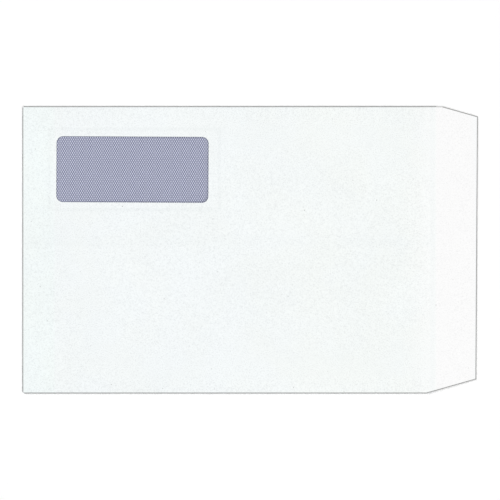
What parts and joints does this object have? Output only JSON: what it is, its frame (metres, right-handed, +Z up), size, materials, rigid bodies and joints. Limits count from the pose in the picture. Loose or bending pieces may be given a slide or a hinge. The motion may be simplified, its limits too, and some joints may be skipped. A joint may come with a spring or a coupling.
{
  "type": "window envelope",
  "caption": "White paper envelope lying flat, with a clear film window over a grey-violet tinted inside, a centre seam and a mouth flap open at the short end.",
  "frame": {"origin": "on the surface that the envelope lies on, under the middle of its overall length and width", "axes": "+X along the envelope from the closed end to the tip of the open mouth flap, +Y across it towards the long side that the window is nearer, +Z up through the paper to the window side"},
  "size_m": [0.257, 0.162, 0.0009],
  "materials": {
    "paper": "matte",
    "film": "gloss",
    "tint": "matte",
    "glue": "satin"
  },
  "bodies": {
    "root": {"envelope_paper": "paper", "window_film": "film", "window_glue": "glue", "inner_tint_window_side": "tint", "inner_tint_seam_side": "tint", "seam_glue": "glue", "bottom_glue_seam_side": "glue", "bottom_glue_window_side": "glue"}
  },
  "joints": []
}
